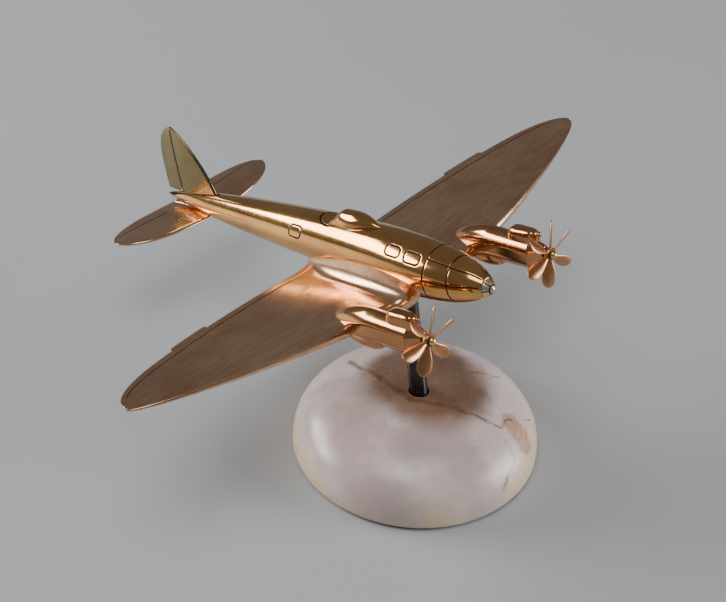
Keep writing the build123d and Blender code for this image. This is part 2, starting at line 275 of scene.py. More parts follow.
def nose_cap(material):
    """Small worn cap on the nose, with a turned ring and six radial notches."""
    stations = NOSE_TIP + (NOSE_CAP_SEAM - NOSE_TIP) * np.linspace(0.0004, 1, 60) ** 1.8
    angles = np.linspace(-pi, pi, 144, endpoint=False)
    y, angle = np.meshgrid(stations, angles, indexing="ij")
    ring = line_mark(y - NOSE_TIP - 0.9, 0.13)
    off = body_radius(y) * np.abs(((angle * 6 / (2 * pi)) % 1) - 0.5) * 2 * pi / 6
    notch = line_mark(off, 0.17) * ease((y - NOSE_TIP - 0.8) / 0.4)
    mark = np.maximum(ring, notch)
    mark = np.maximum(mark, line_mark(y - NOSE_CAP_SEAM, 0.16))
    piece = build("nose_cap_shell", [place(on_body(y, angle, -0.18 * mark))], {"cut": [mark]})
    return finish_piece(piece, ROOT_BODY, "nose_cap", material)


def canopy(material):
    """Dorsal blister: an arch whose width and height follow its length, cut off steeply at the back."""
    t = np.concatenate([np.linspace(0.001, 1, 90) ** 1.3])[:, None]
    v = np.linspace(-pi, pi, 96, endpoint=False)[None, :]
    y = 21.0 + 22.8 * t
    half_width = 4.5 * np.sin(np.minimum(t / 0.62, 1) * pi / 2) ** 0.8 * (1 - 0.2 * ease((t - 0.62) / 0.38))
    crest = 3.9 * np.sin(np.minimum(t / 0.5, 1) * pi / 2) ** 0.9 * (1 - ease((t - 0.72) / 0.28)) ** 0.75
    crest = crest + 0.05
    ground = body_height(y) + np.sqrt(np.maximum(body_radius(y) ** 2 - (half_width * np.sin(v)) ** 2, 1))
    arch = np.sign(np.cos(v)) * np.abs(np.cos(v)) ** 0.85
    x = half_width * np.sign(np.sin(v)) * np.abs(np.sin(v)) ** 0.92
    z = ground + np.where(arch > 0, crest * arch, 1.6 * arch)
    points = np.stack(np.broadcast_arrays(x, y, z), -1)
    piece = build("canopy_blister", [place(points)], {"cut": [np.zeros(points.shape[:2])]})
    return finish_piece(piece, ROOT_BODY, "dorsal_canopy", material)


def gondola(material):
    """Belly blister: half an egg under the fuselage, blunt at its back."""
    t = np.linspace(0.002, 0.998, 60)[:, None]
    v = np.linspace(-pi, pi, 80, endpoint=False)[None, :]
    y = 26.0 + 32.4 * t
    swell = np.sin(pi * t**1.5) ** 0.55
    x = 5.3 * swell * np.sin(v)
    z = -9.4 + 4.3 * swell * np.cos(v)
    points = np.stack(np.broadcast_arrays(x, y, z), -1)
    piece = build("belly_blister", [place(points)], {"cut": [np.zeros(points.shape[:2])]})
    return finish_piece(piece, ROOT_BODY, "ventral_gondola", material)


# ------------------------------------------------------------------ flying surfaces
def section_depth(s):
    """Half thickness of a section as a share of its greatest value.

    A short round nose and a long one, 0.76*n(s/0.045) + 0.24*n(s/0.45) with n(u) = sqrt(1-(1-u)^2),
    taper together as 1 - e(s), e rising smoothly from 30 % of the chord to the trailing edge."""
    short = np.sqrt(1 - (1 - np.clip(s / 0.045, 0, 1)) ** 2)
    long = np.sqrt(1 - (1 - np.clip(s / 0.45, 0, 1)) ** 2)
    taper = 1 - np.clip((s - 0.3) / 0.7, 0, 1) ** 1.5
    return (0.76 * short + 0.24 * long) * taper


def chord_shares(front, back):
    """Shares from the leading edge to the hinge and on to the trailing edge, closest at the nose."""
    nose = (1 - np.cos(np.linspace(0, pi / 2, front))) ** 1.15
    tail = np.linspace(0, 1, back + 1)[1:]
    return nose, tail


def plate_loops(leading, trailing, hinge, middle, thickness, edge, groove, front=46, back=9):
    """Closed section loops, one per station, of a plate with an engraved hinge line.

    leading, trailing, hinge, middle, thickness and groove are one value per station.
    A loop runs from the trailing edge over the top to the nose and back underneath.
    Returns the chordwise place, height and engraving mark of every point."""
    nose, tail = chord_shares(front, back)
    slot = np.array([-1.0, -0.5, 0.0, 0.5, 1.0]) * 0.55
    lead, trail = leading[:, None], trailing[:, None]
    gap = np.minimum(0.55, 0.15 * (trail - lead))
    line = np.clip(hinge[:, None], lead + 2 * gap, trail - 2 * gap)
    ahead = lead + (line - gap - lead) * nose[None, :]
    behind = line + gap + (trail - line - gap) * tail[None, :]
    chordwise = np.concatenate([ahead, line + slot[None, :] * gap, behind], 1)
    share = np.clip((chordwise - lead) / np.maximum(trail - lead, 1e-6), 0, 1)
    depth = thickness[:, None] / 2 * section_depth(share) + edge / 2 * share
    cut = np.zeros_like(chordwise)
    cut[:, front:front + 5] = np.array([0, 0.75, 1, 0.75, 0])[None, :] * groove[:, None]
    depth = depth - 0.12 * cut
    top = middle[:, None] + depth
    bottom = middle[:, None] - depth
    place_along = np.concatenate([chordwise[:, ::-1], chordwise[:, 1:]], 1)
    height = np.concatenate([top[:, ::-1], bottom[:, 1:]], 1)
    mark = np.concatenate([cut[:, ::-1], cut[:, 1:]], 1)
    return place_along, height, mark


def wing_leading(x):
    """Leading edge station: 2.2 + 0.0183 x + 0.0017 x^2."""
    return 2.2 + 0.0183 * x + 0.0017 * x**2


def wing_trailing(x):
    """Trailing edge station: 53.4 - 0.0094 x - 0.0011 x^2."""
    return 53.4 - 0.0094 * x - 0.0011 * x**2


def wing_rounding(x, power):
    """Share of the chord left as the tip rounds off: sqrt(1 - (x/span)^power)."""
    return np.sqrt(np.maximum(0.0, 1 - (x / HALF_SPAN) ** power))


def wing_frame(x):
    """Leading and trailing stations, middle height and thickness of the wing at half-span x."""
    middle = (wing_leading(x) + wing_trailing(x)) / 2 - 3.5
    leading = middle - (middle - wing_leading(x)) * wing_rounding(x, 34)
    trailing = middle + (wing_trailing(x) - middle) * wing_rounding(x, 15)
    thickness = 0.5 + 6.4 * (1 - (x / (HALF_SPAN + 6)) ** 1.3) * wing_rounding(x, 26) ** 0.7
    return leading, trailing, WING_ROOT_HEIGHT + DIHEDRAL * x, thickness


def wing_grid():
    """Port wing: sections from the tip to the root contact, then a fillet that climbs the fuselage.

    Over the fillet each upper point follows a cubic curve from the wing to its foot on the
    fuselage skin, tangent to both; each lower point runs straight in to the centre plane."""
    x = np.concatenate([HALF_SPAN * np.sin(np.linspace(pi / 2 - 0.012, np.arcsin(100 / HALF_SPAN), 26)),
                        np.linspace(98.6, ROOT_CONTACT, 64)])
    leading, trailing, middle, thickness = wing_frame(x)
    hinge = trailing - 3.4 + 1.2 * ease((x - 85) / 28)
    hinge = np.minimum(hinge, trailing - 0.9)
    fade = ease((HALF_SPAN - 2.5 - x) / 4)
    along, height, mark = plate_loops(leading, trailing, hinge, middle, thickness, 0.45, fade)
    share = (along - leading[:, None]) / (trailing - leading)[:, None]
    height = height + WING_TWIST * (share - 0.5)
    outer = np.stack([np.broadcast_to(x[:, None], along.shape), along, height], -1)

    inboard = outer[-1]
    s = share[-1]
    columns = len(s)
    is_top = np.arange(columns) <= columns // 2
    slope = (outer[-1] - outer[-3]) / np.linalg.norm(outer[-1] - outer[-3], axis=-1, keepdims=True)
    foot_station = -3.6 + (59.0 - 1.5 * s) * s
    foot_height = -2.6 + 5.4 * np.sin(pi * np.clip(s, 0, 1) ** 0.72) ** 0.9 - 2.6 * s**2
    radius = body_radius(foot_station)
    foot_angle = np.arccos(np.clip((foot_height - body_height(foot_station)) / radius, -1, 1))
    lower_angle = foot_angle[columns // 2] + (pi - foot_angle[columns // 2]) * ease(s / 0.16)
    lower_station = foot_station[columns // 2] + (inboard[:, 1] - foot_station[columns // 2]) * ease(s / 0.16)
    angle = np.where(is_top, foot_angle, lower_angle)
    station = np.where(is_top, foot_station, lower_station)
    foot = on_body(station, angle, -0.12)
    centre_line = np.stack([0 * s, inboard[:, 1], inboard[:, 2] - DIHEDRAL * ROOT_CONTACT * 0.7], -1)
    tuck = ease((s - 0.02) / 0.16)[:, None]
    foot = np.where(is_top[:, None], foot, foot * (1 - tuck) + centre_line * tuck)
    down = np.stack([np.cos(angle), 0 * angle, -np.sin(angle)], -1)
    flat_in = np.array([-1.0, 0.0, 0.0])
    reach = np.linalg.norm(foot - inboard, axis=-1, keepdims=True)
    first = inboard + slope * reach * 0.42
    second_top = foot + down * reach * 0.42
    second_low = foot - flat_in * reach * 0.3
    second = np.where(is_top[:, None], second_top, second_top * (1 - tuck) + second_low * tuck)
    t = np.linspace(0, 1, 40)[1:, None, None]
    rest = 1 - t
    fillet = rest**3 * inboard + 3 * rest**2 * t * first + 3 * rest * t**2 * second + t**3 * foot
    fade_in = (1 - ease(t[..., 0] / 0.75))
    root_mark = mark[-1][None, :] * fade_in
    return np.concatenate([outer, fillet]), np.concatenate([mark, root_mark])


def wings(material):
    """Both wings, the starboard one the mirror image of the port one."""
    points, mark = wing_grid()
    for side, grid in (("port", points), ("starboard", mirrored(points))):
        piece = build(side + "_wing_skin", [place(grid)], {"cut": [mark]})
        finish_piece(piece, ROOT_BODY, side + "_wing", material)


def trim_tabs(material):
    """Thin strip that stands out of each trailing edge, with rounded corners."""
    t = np.linspace(-1, 1, 40)[:, None]
    v = np.linspace(-pi, pi, 24, endpoint=False)[None, :]
    x = 70.4 + 9.4 * np.sign(t) * np.abs(t) ** 0.9
    narrowing = (1 - np.abs(t) ** 14) ** 0.5
    middle = wing_trailing(x) - 0.35
    y = middle + 1.75 * narrowing * np.sign(np.cos(v)) * np.abs(np.cos(v)) ** 0.35
    rise = WING_ROOT_HEIGHT + DIHEDRAL * x + 0.6
    z = rise + 0.3 * narrowing * np.sign(np.sin(v)) * np.abs(np.sin(v)) ** 0.5
    points = np.stack(np.broadcast_arrays(x, y, z), -1)
    for side, grid in (("port", points), ("starboard", mirrored(points))):
        piece = build(side + "_tab_strip", [place(grid)], {"cut": [np.zeros(grid.shape[:2])]})
        finish_piece(piece, ROOT_BODY, side + "_trim_tab", material)


def tailplanes(material):
    """Tailplane halves: elliptical plan, thin section, engraved elevator hinge."""
    w = np.sin(np.linspace(pi / 2 - 0.02, 0, 70))
    x = TAIL_HALF_SPAN * w
    tip = 127.5
    leading = 114.2 + (tip - 114.2) * (1 - (1 - w**3.4) ** 0.62)
    trailing = tip + (11.9 - 1.5 * w) * (1 - w**3.6) ** 0.55
    hinge = np.minimum(132.6 - 1.6 * w, trailing - 0.8)
    thickness = 0.35 + 1.35 * np.sqrt(1 - w**5)
    fade = ease((0.975 - w) / 0.04)
    middle = TAIL_HEIGHT + TAIL_DIHEDRAL * x
    along, height, mark = plate_loops(leading, trailing, hinge, middle, thickness, 0.3, fade)
    points = np.stack([np.broadcast_to(x[:, None], along.shape), along, height], -1)
    for side, grid in (("port", points), ("starboard", mirrored(points))):
        piece = build(side + "_tailplane_skin", [place(grid)], {"cut": [mark]})
        finish_piece(piece, ROOT_BODY, side + "_tailplane", material)


def fin(material):
    """Fin and rudder: swept rounded front, bulged back, engraved rudder hinge, foot in the tail."""
    top = 27.7
    w = np.sin(np.linspace(pi / 2 - 0.02, 0, 80))
    leading = 109.6 + 20.0 * (1 - (1 - w**1.45) ** 0.8)
    trailing = 129.6 + 9.5 * (1 - w**4.2) ** 0.62
    hinge = np.clip(130.2 - 0.5 * w, leading + 0.7, trailing - 0.8)
    thickness = 0.4 + 1.5 * (1 - w**2.2) ** 0.6
    fade = ease((0.97 - w) / 0.04)
    along, across, mark = plate_loops(leading, trailing, hinge, 0 * w, thickness, 0.3, fade)
    height = np.broadcast_to((top * w)[:, None], along.shape)
    points = np.stack([across, along, height], -1)
    piece = build("fin_skin", [place(points)], {"cut": [mark]})
    return finish_piece(piece, ROOT_BODY, "fin", material)


# ------------------------------------------------------------------ engines
FACE_ANGLES = np.radians([0, 28, -28, 58, -58, 90, -90, 128, -128, 180])
FACE_DISTANCES = np.array([5.9, 5.35, 5.35, 5.0, 5.0, 4.6, 4.6, 5.5, 5.5, 6.3])


def faceted(angle, sharpness):
    """Rounded polygon: the p-norm of every flat's share, so a high p gives crisp corners."""
    lean = np.maximum(np.cos(angle[..., None] - FACE_ANGLES), 0) / FACE_DISTANCES
    return np.sum(lean**sharpness, -1) ** (-1 / sharpness)


def cowling_share(y):
    """Size of the cowling along its length: cone, small step, long barrel, rounded back."""
    cone = 0.4 + 0.46 * ((y + 25.2) / 4.7) ** 0.85
    barrel = 0.97 + 0.05 * ease((y + 20) / 22)
    back = np.sqrt(np.maximum(1 - (np.maximum(y + 2, 0) / 19.3) ** 2.6, 0))
    step = ease((y + 20.5) / 0.5)
    return (np.where(y < -20.5, cone, 0.86) * (1 - step) + barrel * step) * back


def cowlings(material):
    """Engine bodies: faceted sections that shrink to the shaft in front and round off on the wing."""
    y = runs((-25.2, -20.6, 0.3), (-20.6, -19.4, 0.1), (-19.4, 6, 0.8), (6, 16, 0.45), (16, 17.28, 0.09))
    y = y[:, None]
    angle = np.linspace(-pi, pi, 180, endpoint=False)[None, :]
    share = cowling_share(y)
    sharpness = 22.0
    radius = faceted(angle, sharpness) * share
    centre = -4.75 + 1.15 * ease((-20 - y) / 5) - 2.6 * ease((y + 2) / 18)
    x = ENGINE_OFFSET + radius * np.sin(angle)
    z = centre + radius * np.cos(angle)
    points = np.stack(np.broadcast_arrays(x, y, z), -1)
    seam = 0.1 * line_mark(y + 20.45, 0.16) * np.ones_like(angle)
    for side, grid in (("port", points), ("starboard", mirrored(points))):
        piece = build(side + "_cowling_shell", [place(grid)], {"cut": [seam]})
        finish_piece(piece, ROOT_BODY, side + "_engine_cowling", material)


def intake_fairings(material):
    """Raised intake on each cowling: a rounded box that ends in a small round lip."""
    t = np.linspace(0, 1, 70)[:, None]
    v = np.linspace(-pi, pi, 80, endpoint=False)[None, :]
    y = -22.6 + 12.2 * t
    ends = (1 - np.abs(2 * t - 1) ** 6 * 0.999) ** 0.5
    arch = np.sign(np.cos(v)) * np.abs(np.cos(v)) ** 0.6
    side_curve = np.sign(np.sin(v)) * np.abs(np.sin(v)) ** 0.7
    x = ENGINE_OFFSET + (2.5 + 0.5 * t) * ends * side_curve
    z = 0.9 + (3.6 - 0.5 * t) * ends * arch
    box = np.stack(np.broadcast_arrays(x, y, z), -1)
    u = np.linspace(0.01, pi - 0.01, 24)[:, None]
    w = np.linspace(-pi, pi, 32, endpoint=False)[None, :]
    lip_radius = 1.15 * np.sin(u)
    lip = np.stack(np.broadcast_arrays(
        ENGINE_OFFSET + lip_radius * np.sin(w), -22.9 - 1.3 * np.cos(u), 2.9 + lip_radius * np.cos(w)), -1)
    for side, turn in (("port", lambda grid: grid), ("starboard", mirrored)):
        flat = [np.zeros(box.shape[:2]), np.zeros(lip.shape[:2])]
        piece = build(side + "_intake", [place(turn(box)), place(turn(lip))], {"cut": flat})
        finish_piece(piece, ROOT_BODY, side + "_intake_fairing", material)


def radiator_baths(material):
    """Bulge under each cowling: blunt in front, running out under the wing."""
    t = np.linspace(0.001, 0.999, 60)[:, None]
    v = np.linspace(-pi, pi, 80, endpoint=False)[None, :]
    y = -6.8 + 21.4 * t
    swell = np.sin(pi * t**0.62) ** 0.5
    x = ENGINE_OFFSET + 4.4 * swell * np.sign(np.sin(v)) * np.abs(np.sin(v)) ** 0.8
    z = -9.8 + 4.2 * swell * np.cos(v)
    points = np.stack(np.broadcast_arrays(x, y, z), -1)
    for side, grid in (("port", points), ("starboard", mirrored(points))):
        piece = build(side + "_bath_shell", [place(grid)], {"cut": [np.zeros(grid.shape[:2])]})
        finish_piece(piece, ROOT_BODY, side + "_radiator_bath", material)


# ------------------------------------------------------------------ propellers
def blade_grid():
    """One upright blade: rounded paddle outline, lens section, twisted from root to tip."""
    u = np.sin(np.linspace(0, pi / 2, 44))[:, None]
    v = np.linspace(-pi, pi, 36, endpoint=False)[None, :]
    reach = 1.4 + (BLADE_TIP_RADIUS - 1.42) * u
    paddle = 0.85 + 1.6 * ease(u / 0.62)
    tip = np.sqrt(np.maximum(1 - (np.maximum(u - 0.72, 0) / 0.281) ** 2, 0.0004))
    half_chord = paddle * tip
    chord = half_chord * np.cos(v)
    half_depth = (0.44 - 0.2 * u) * tip**0.5
    depth = half_depth * np.sign(np.sin(v)) * np.abs(np.sin(v)) ** 0.8 + 0.07 * (chord**2 - 2)
    twist = np.radians(46 - 10 * u)
    across = chord * np.cos(twist) - depth * np.sin(twist)
    ahead = chord * np.sin(twist) + depth * np.cos(twist)
    return np.stack(np.broadcast_arrays(across, ahead, reach), -1)


def turned(points, angle):
    """Points turned about the shaft so that the upright blade points at this angle from +X to +Z."""
    a = angle - pi / 2
    x, y, z = points[..., 0], points[..., 1], points[..., 2]
    return np.stack([x * cos(a) - z * sin(a), y, x * sin(a) + z * cos(a)], -1)


def lathe(profile, around, centre):
    """Turned part about the shaft direction: profile is (station, radius) pairs in order."""
    y, radius = np.array(profile, float).T
    angle = np.linspace(-pi, pi, around, endpoint=False)[None, :]
    points = np.stack(np.broadcast_arrays(
        radius[:, None] * np.sin(angle), y[:, None], radius[:, None] * np.cos(angle)), -1)
    return points + np.array(centre)


def propellers(material):
    """Six paddle blades on a small turned hub; both propellers turn the same way."""
    hub = lathe([(-1.0, 0.95), (-1.0, 1.7), (-0.92, 2.05), (-0.7, 2.3), (0.6, 2.35), (0.92, 2.15), (1.0, 1.8),
                 (1.0, 0.95)], 72, (0, 0, 0))
    # Painted shade: the hub's front face round the pin head is marked to turn dark.
    hub_face_shade = np.zeros(hub.shape[:2])
    hub_face_shade[:3] = 0.3
    blade = blade_grid()
    for side, offset in (("port", ENGINE_OFFSET), ("starboard", -ENGINE_OFFSET)):
        centre = np.array([offset, HUB_STATION, SHAFT_HEIGHT])
        first = FIRST_BLADE[side]
        fan = [turned(blade, first + k * 2 * pi / BLADE_COUNT) + centre for k in range(BLADE_COUNT)]
        # Painted shade: the blades darken towards their roots at the hub.
        blade_root_shade = np.broadcast_to(0.14 * (1 - ease((blade[..., 2] - 1.6) / 2.4)), blade.shape[:2])
        marks = [hub_face_shade] + [blade_root_shade] * BLADE_COUNT
        piece = build(side + "_blades", [place(hub + centre)] + [place(part) for part in fan], {"cut": marks})
        finish_piece(piece, side + "_propeller", side + "_propeller", material)


def pins(material):
    """Domed pin head in front of each hub, with a short neck in the hub's bore."""
    t = np.linspace(0.02, pi / 2, 14)
    dome = [(-2.72 + 1.5 * (1 - cos(a)), 1.42 * sin(a)) for a in t]
    profile = dome + [(-1.2, 1.3), (-1.18, 0.8), (0.9, 0.8)]
    for side, offset in (("port", ENGINE_OFFSET), ("starboard", -ENGINE_OFFSET)):
        grid = lathe(profile, 48, (offset, HUB_STATION, SHAFT_HEIGHT))
        piece = build(side + "_pin_head", [place(grid)], {"cut": [np.zeros(grid.shape[:2])]})
        finish_piece(piece, ROOT_BODY, side + "_propeller_pin", material)


def spacers(material):
    """Spacer ring between each hub and its cowling."""
    profile = [(1.2, 0.82), (1.2, 1.75), (1.3, 1.88), (1.9, 1.88), (2.0, 1.75), (2.0, 0.82)]
    for side, offset in (("port", ENGINE_OFFSET), ("starboard", -ENGINE_OFFSET)):
        grid = lathe(profile, 48, (offset, HUB_STATION, SHAFT_HEIGHT))
        piece = build(side + "_spacer_ring", [place(grid)], {"cut": [np.ones(grid.shape[:2])]})
        finish_piece(piece, ROOT_BODY, side + "_shaft_spacer", material)


# ------------------------------------------------------------------ stand
def stone(material):
    """Domed stone: r = R*cos(t)^0.85, z = bulge + rise*sin(t)^0.82, tight lower edge, drilled top."""
    rise = BASE_HEIGHT - BASE_BULGE_HEIGHT
    hole = POST_RADIUS + 0.35
    t = np.linspace(0, 1, 120) ** 0.9 * (pi / 2 - 0.12)
    dome = np.stack([BASE_RADIUS * np.cos(t) ** 0.85, BASE_BULGE_HEIGHT + rise * np.sin(t) ** 0.82], -1)
    dome = dome[dome[:, 0] > 8.0]
    crown_radius = np.concatenate([np.linspace(7.6, hole + 0.25, 14), [hole + 0.08, hole]])
    lean_height = BASE_HEIGHT - 0.0012 * crown_radius**2.4
    crown = np.stack([crown_radius, lean_height], -1)
    crown[:, 1] += (
        dome[-1, 1] - (BASE_HEIGHT - 0.0012 * dome[-1, 0] ** 2.4)) * ease((crown_radius - hole) / 4.5)
    crown[-1, 1] -= 0.25
    well = np.array([[hole - 0.05, BASE_HEIGHT - 1.2], [hole - 0.1, BASE_HEIGHT - 3.2]])
    a = np.linspace(0, pi / 2, 12)[::-1]
    lift = BASE_BULGE_HEIGHT - FELT_THICKNESS
    edge = np.stack([BASE_RADIUS - 1.5 + 1.5 * np.cos(a), BASE_BULGE_HEIGHT - lift * np.sin(a)], -1)[:-1]
    foot = np.array([[4.0, FELT_THICKNESS], [30.0, FELT_THICKNESS]])
    profile = np.concatenate([foot, edge, dome, crown, well])
    angle = np.linspace(-pi, pi, 240, endpoint=False)[None, :]
    radius, height = profile[:, 0][:, None], profile[:, 1][:, None]
    uneven = 1 + 0.0022 * np.sin(2 * angle + 0.6) * (radius > 9) * ease((BASE_RADIUS - radius) / 6)
    reach = radius * uneven
    points = np.stack(np.broadcast_arrays(reach * np.cos(angle), reach * np.sin(angle), height), -1)
    tilt = np.tan(POST_LEAN)
    sink = np.clip(BASE_HEIGHT - points[..., 2], 0, 4) * (radius < hole + 0.05)
    points[..., 1] -= sink * tilt
    # Marks the drilled hole's wall and lip; the stone material paints them near-black as painted shade inside
    # the hole.
    hole_shade_mark = np.broadcast_to((radius < hole + 0.12).astype(float), points.shape[:2])
    piece = build("stone_dome", [points * MM], {"cut": [hole_shade_mark]})
    return finish_piece(piece, ROOT_BODY, "stone_base", material)


def felt(material):
    """Thin felt disc with a soft, slightly fuzzy rim."""
    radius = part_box("felt_pad")[1].x / MM
    angle = np.linspace(-pi, pi, 360, endpoint=False)[None, :]
    profile = np.array([[1.0, 0.0], [radius - 0.4, 0.0], [radius - 0.1, 0.12], [radius, 0.4],
                        [radius - 0.08, 0.75], [radius - 0.35, 0.9], [1.0, 0.9]])
    r, z = profile[:, 0][:, None], profile[:, 1][:, None]
    rough = 0.05 * np.sin(57 * angle + 3 * z) + 0.05 * np.sin(131 * angle)
    r = r - np.abs(rough) * (r > 30)
    points = np.stack(np.broadcast_arrays(r * np.cos(angle), r * np.sin(angle), z), -1)
    piece = build("felt_disc", [points * MM], {"cut": [np.zeros(points.shape[:2])]})
    return finish_piece(piece, ROOT_BODY, "felt_pad", material)


def post(material):
    """Leaning round rod: chamfered foot in the stone, top end buried in the belly."""
    foot = Vector((0, 0, BASE_HEIGHT))
    axis = Vector((0, sin(POST_LEAN), cos(POST_LEAN)))
    length = (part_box("support_post")[1].z / MM - BASE_HEIGHT) / axis.z
    along = np.concatenate([[-3.8, -3.6], np.linspace(-3.4, length - 0.6, 40), [length - 0.2]])[:, None]
    radius = np.full_like(along, POST_RADIUS)
    radius[0] = POST_RADIUS - 0.4
    angle = np.linspace(-pi, pi, 96, endpoint=False)[None, :]
    side = np.array([1.0, 0, 0])
    ahead = np.array([0, cos(POST_LEAN), -sin(POST_LEAN)])
    points = (np.array(foot) + along[..., None] * np.array(axis)
              + (radius * np.cos(angle))[..., None] * side + (radius * np.sin(angle))[..., None] * ahead)
    piece = build("post_rod", [points * MM], {"cut": [np.zeros(points.shape[:2])]})
    return finish_piece(piece, ROOT_BODY, "support_post", material)


# ------------------------------------------------------------------ shader tools
class Nodes:
    """Short way to add and join nodes in one tree."""

    def __init__(self, tree):
        self.tree = tree

    def add(self, kind, **settings):
        node = self.tree.nodes.new(kind)
        for key, value in settings.items():
            setattr(node, key, value)
        return node

    def join(self, source, target):
        self.tree.links.new(source, target)

    def put(self, socket, value):
        if isinstance(value, bpy.types.NodeSocket):
            self.join(value, socket)
        else:
            socket.default_value = value

    def math(self, operation, *values, clamp=False):
        node = self.add("ShaderNodeMath", operation=operation, use_clamp=clamp)
        for socket, value in zip(node.inputs, values):
            self.put(socket, value)
        return node.outputs[0]

    def vector(self, operation, *values):
        node = self.add("ShaderNodeVectorMath", operation=operation)
        for socket, value in zip(node.inputs, values):
            self.put(socket, value)
        single = operation in ("LENGTH", "DISTANCE", "DOT_PRODUCT")
        return node.outputs["Value"] if single else node.outputs[0]

    def mix(self, factor, first, second, blend="MIX"):
        node = self.add("ShaderNodeMix", data_type="RGBA", blend_type=blend)
        self.put(node.inputs[0], factor)
        self.put(node.inputs[6], first)
        self.put(node.inputs[7], second)
        return node.outputs[2]

    def span(self, value, low, high, to_low=0.0, to_high=1.0):
        node = self.add("ShaderNodeMapRange", interpolation_type="SMOOTHSTEP")
        for socket, number in zip(node.inputs, (value, low, high, to_low, to_high)):
            self.put(socket, number)
        return node.outputs[0]

    def noise(self, coords, scale, detail=3.0, rough=0.5, warp=0.0):
        node = self.add("ShaderNodeTexNoise")
        self.put(node.inputs["Vector"], coords)
        self.put(node.inputs["Scale"], scale)
        node.inputs["Detail"].default_value = detail
        node.inputs["Roughness"].default_value = rough
        node.inputs["Distortion"].default_value = warp
        return node.outputs["Fac"]

    def stretch(self, coords, scale, turn=(0, 0, 0)):
        node = self.add("ShaderNodeMapping")
        self.put(node.inputs["Vector"], coords)
        node.inputs["Scale"].default_value = scale
        node.inputs["Rotation"].default_value = turn
        return node.outputs[0]

    def here(self):
        return self.add("ShaderNodeTexCoord").outputs["Object"]

    def mark(self, name="cut"):
        return self.add("ShaderNodeAttribute", attribute_name=name).outputs["Fac"]


def new_group(name, inputs, outputs):
    """Empty shader group with named inputs and outputs, its node helper and its two ends."""
    tree = bpy.data.node_groups.new(name, "ShaderNodeTree")
    for label, kind, value in inputs:
        socket = tree.interface.new_socket(label, in_out="INPUT", socket_type=kind)
        if value is not None:
            socket.default_value = value
    for label, kind in outputs:
        tree.interface.new_socket(label, in_out="OUTPUT", socket_type=kind)
    n = Nodes(tree)
    return tree, n, n.add("NodeGroupInput"), n.add("NodeGroupOutput")


def new_material(name):
    """Empty material with its helper, Principled shader and output joined."""
    material = bpy.data.materials.new(name)
    material.use_nodes = True
    material.node_tree.nodes.clear()
    n = Nodes(material.node_tree)
    shader = n.add("ShaderNodeBsdfPrincipled")
    n.join(shader.outputs[0], n.add("ShaderNodeOutputMaterial").inputs[0])
    return material, n, shader


def use_group(n, tree, **values):
    """A group placed in a material, with its own values."""
    node = n.add("ShaderNodeGroup")
    node.node_tree = tree
    for label, value in values.items():
        n.put(node.inputs[label.replace("_", " ")], value)
    return node


def polished_metal_group():
    """Hand-polished casting: colour clouds, fine streaks, small pits; the Cut mark darkens as patina in the
    engraved cuts and as painted shade at the hubs.
    """
    tree, n, given, result = new_group(
        "hand_polished_casting",
        [("Coords", "NodeSocketVector", None), ("Cut", "NodeSocketFloat", 0.0),
         ("Metal", "NodeSocketColor", (0.8, 0.6, 0.35, 1)), ("Warm", "NodeSocketColor", (0.7, 0.4, 0.2, 1)),
         ("Streak Stretch", "NodeSocketVector", (1.0, 1.0, 1.0)), ("Streaks", "NodeSocketFloat", 0.2),
         ("Gloss", "NodeSocketFloat", 0.12), ("Tarnish", "NodeSocketFloat", 0.3)],
        [("Colour", "NodeSocketColor"), ("Roughness", "NodeSocketFloat"), ("Normal", "NodeSocketVector")])
    coords = given.outputs["Coords"]
    clouds = n.span(n.noise(coords, 38.0, 4.0, 0.6), 0.35, 0.7)
    colour = n.mix(clouds, given.outputs["Metal"], given.outputs["Warm"])
    lines = n.vector("MULTIPLY", coords, given.outputs["Streak Stretch"])
    streak = n.noise(lines, 900.0, 3.0, 0.6)
    streak_cut = n.math("MULTIPLY", n.math("SUBTRACT", streak, 0.5), given.outputs["Streaks"])
    brushed = n.math("MULTIPLY", n.span(streak, 0.42, 0.62), given.outputs["Streaks"])
    colour = n.mix(brushed, colour, (0.3, 0.17, 0.11, 1))
    patches = n.span(n.noise(coords, 95.0, 5.0, 0.62, 0.4), 0.56, 0.78)
    tarnish = n.math("MULTIPLY", patches, given.outputs["Tarnish"])
    colour = n.mix(tarnish, colour, (0.1, 0.045, 0.02, 1))
    pits = n.span(n.noise(coords, 1500.0, 2.0, 0.5), 0.73, 0.8)
    colour = n.mix(n.math("MULTIPLY", pits, 0.55), colour, (0.05, 0.022, 0.012, 1))
    # Cut darkening: real patina in engraved lines, painted shade where a piece marks shade with it (hub
    # faces, blade roots).
    patina_and_shade = n.span(given.outputs["Cut"], 0.03, 0.4)
    colour = n.mix(patina_and_shade, colour, (0.018, 0.009, 0.006, 1))
    rough = n.math("ADD", given.outputs["Gloss"], n.math("MULTIPLY", patches, 0.1))
    rough = n.math("ADD", rough, streak_cut)
    rough = n.math("ADD", rough, n.math("MULTIPLY", patina_and_shade, 0.45), clamp=True)
    bump = n.add("ShaderNodeBump")
    bump.inputs["Strength"].default_value = 0.3
    bump.inputs["Distance"].default_value = 0.00006
    waviness = n.noise(coords, 120.0, 2.0, 0.5)
    relief = n.math("ADD", n.math("MULTIPLY", streak_cut, 0.6), n.math("MULTIPLY", waviness, 0.9))
    n.join(n.math("SUBTRACT", relief, n.math("MULTIPLY", pits, 0.5)), bump.inputs["Height"])
    n.join(colour, result.inputs["Colour"])
    n.join(rough, result.inputs["Roughness"])
    n.join(bump.outputs[0], result.inputs["Normal"])
    return tree


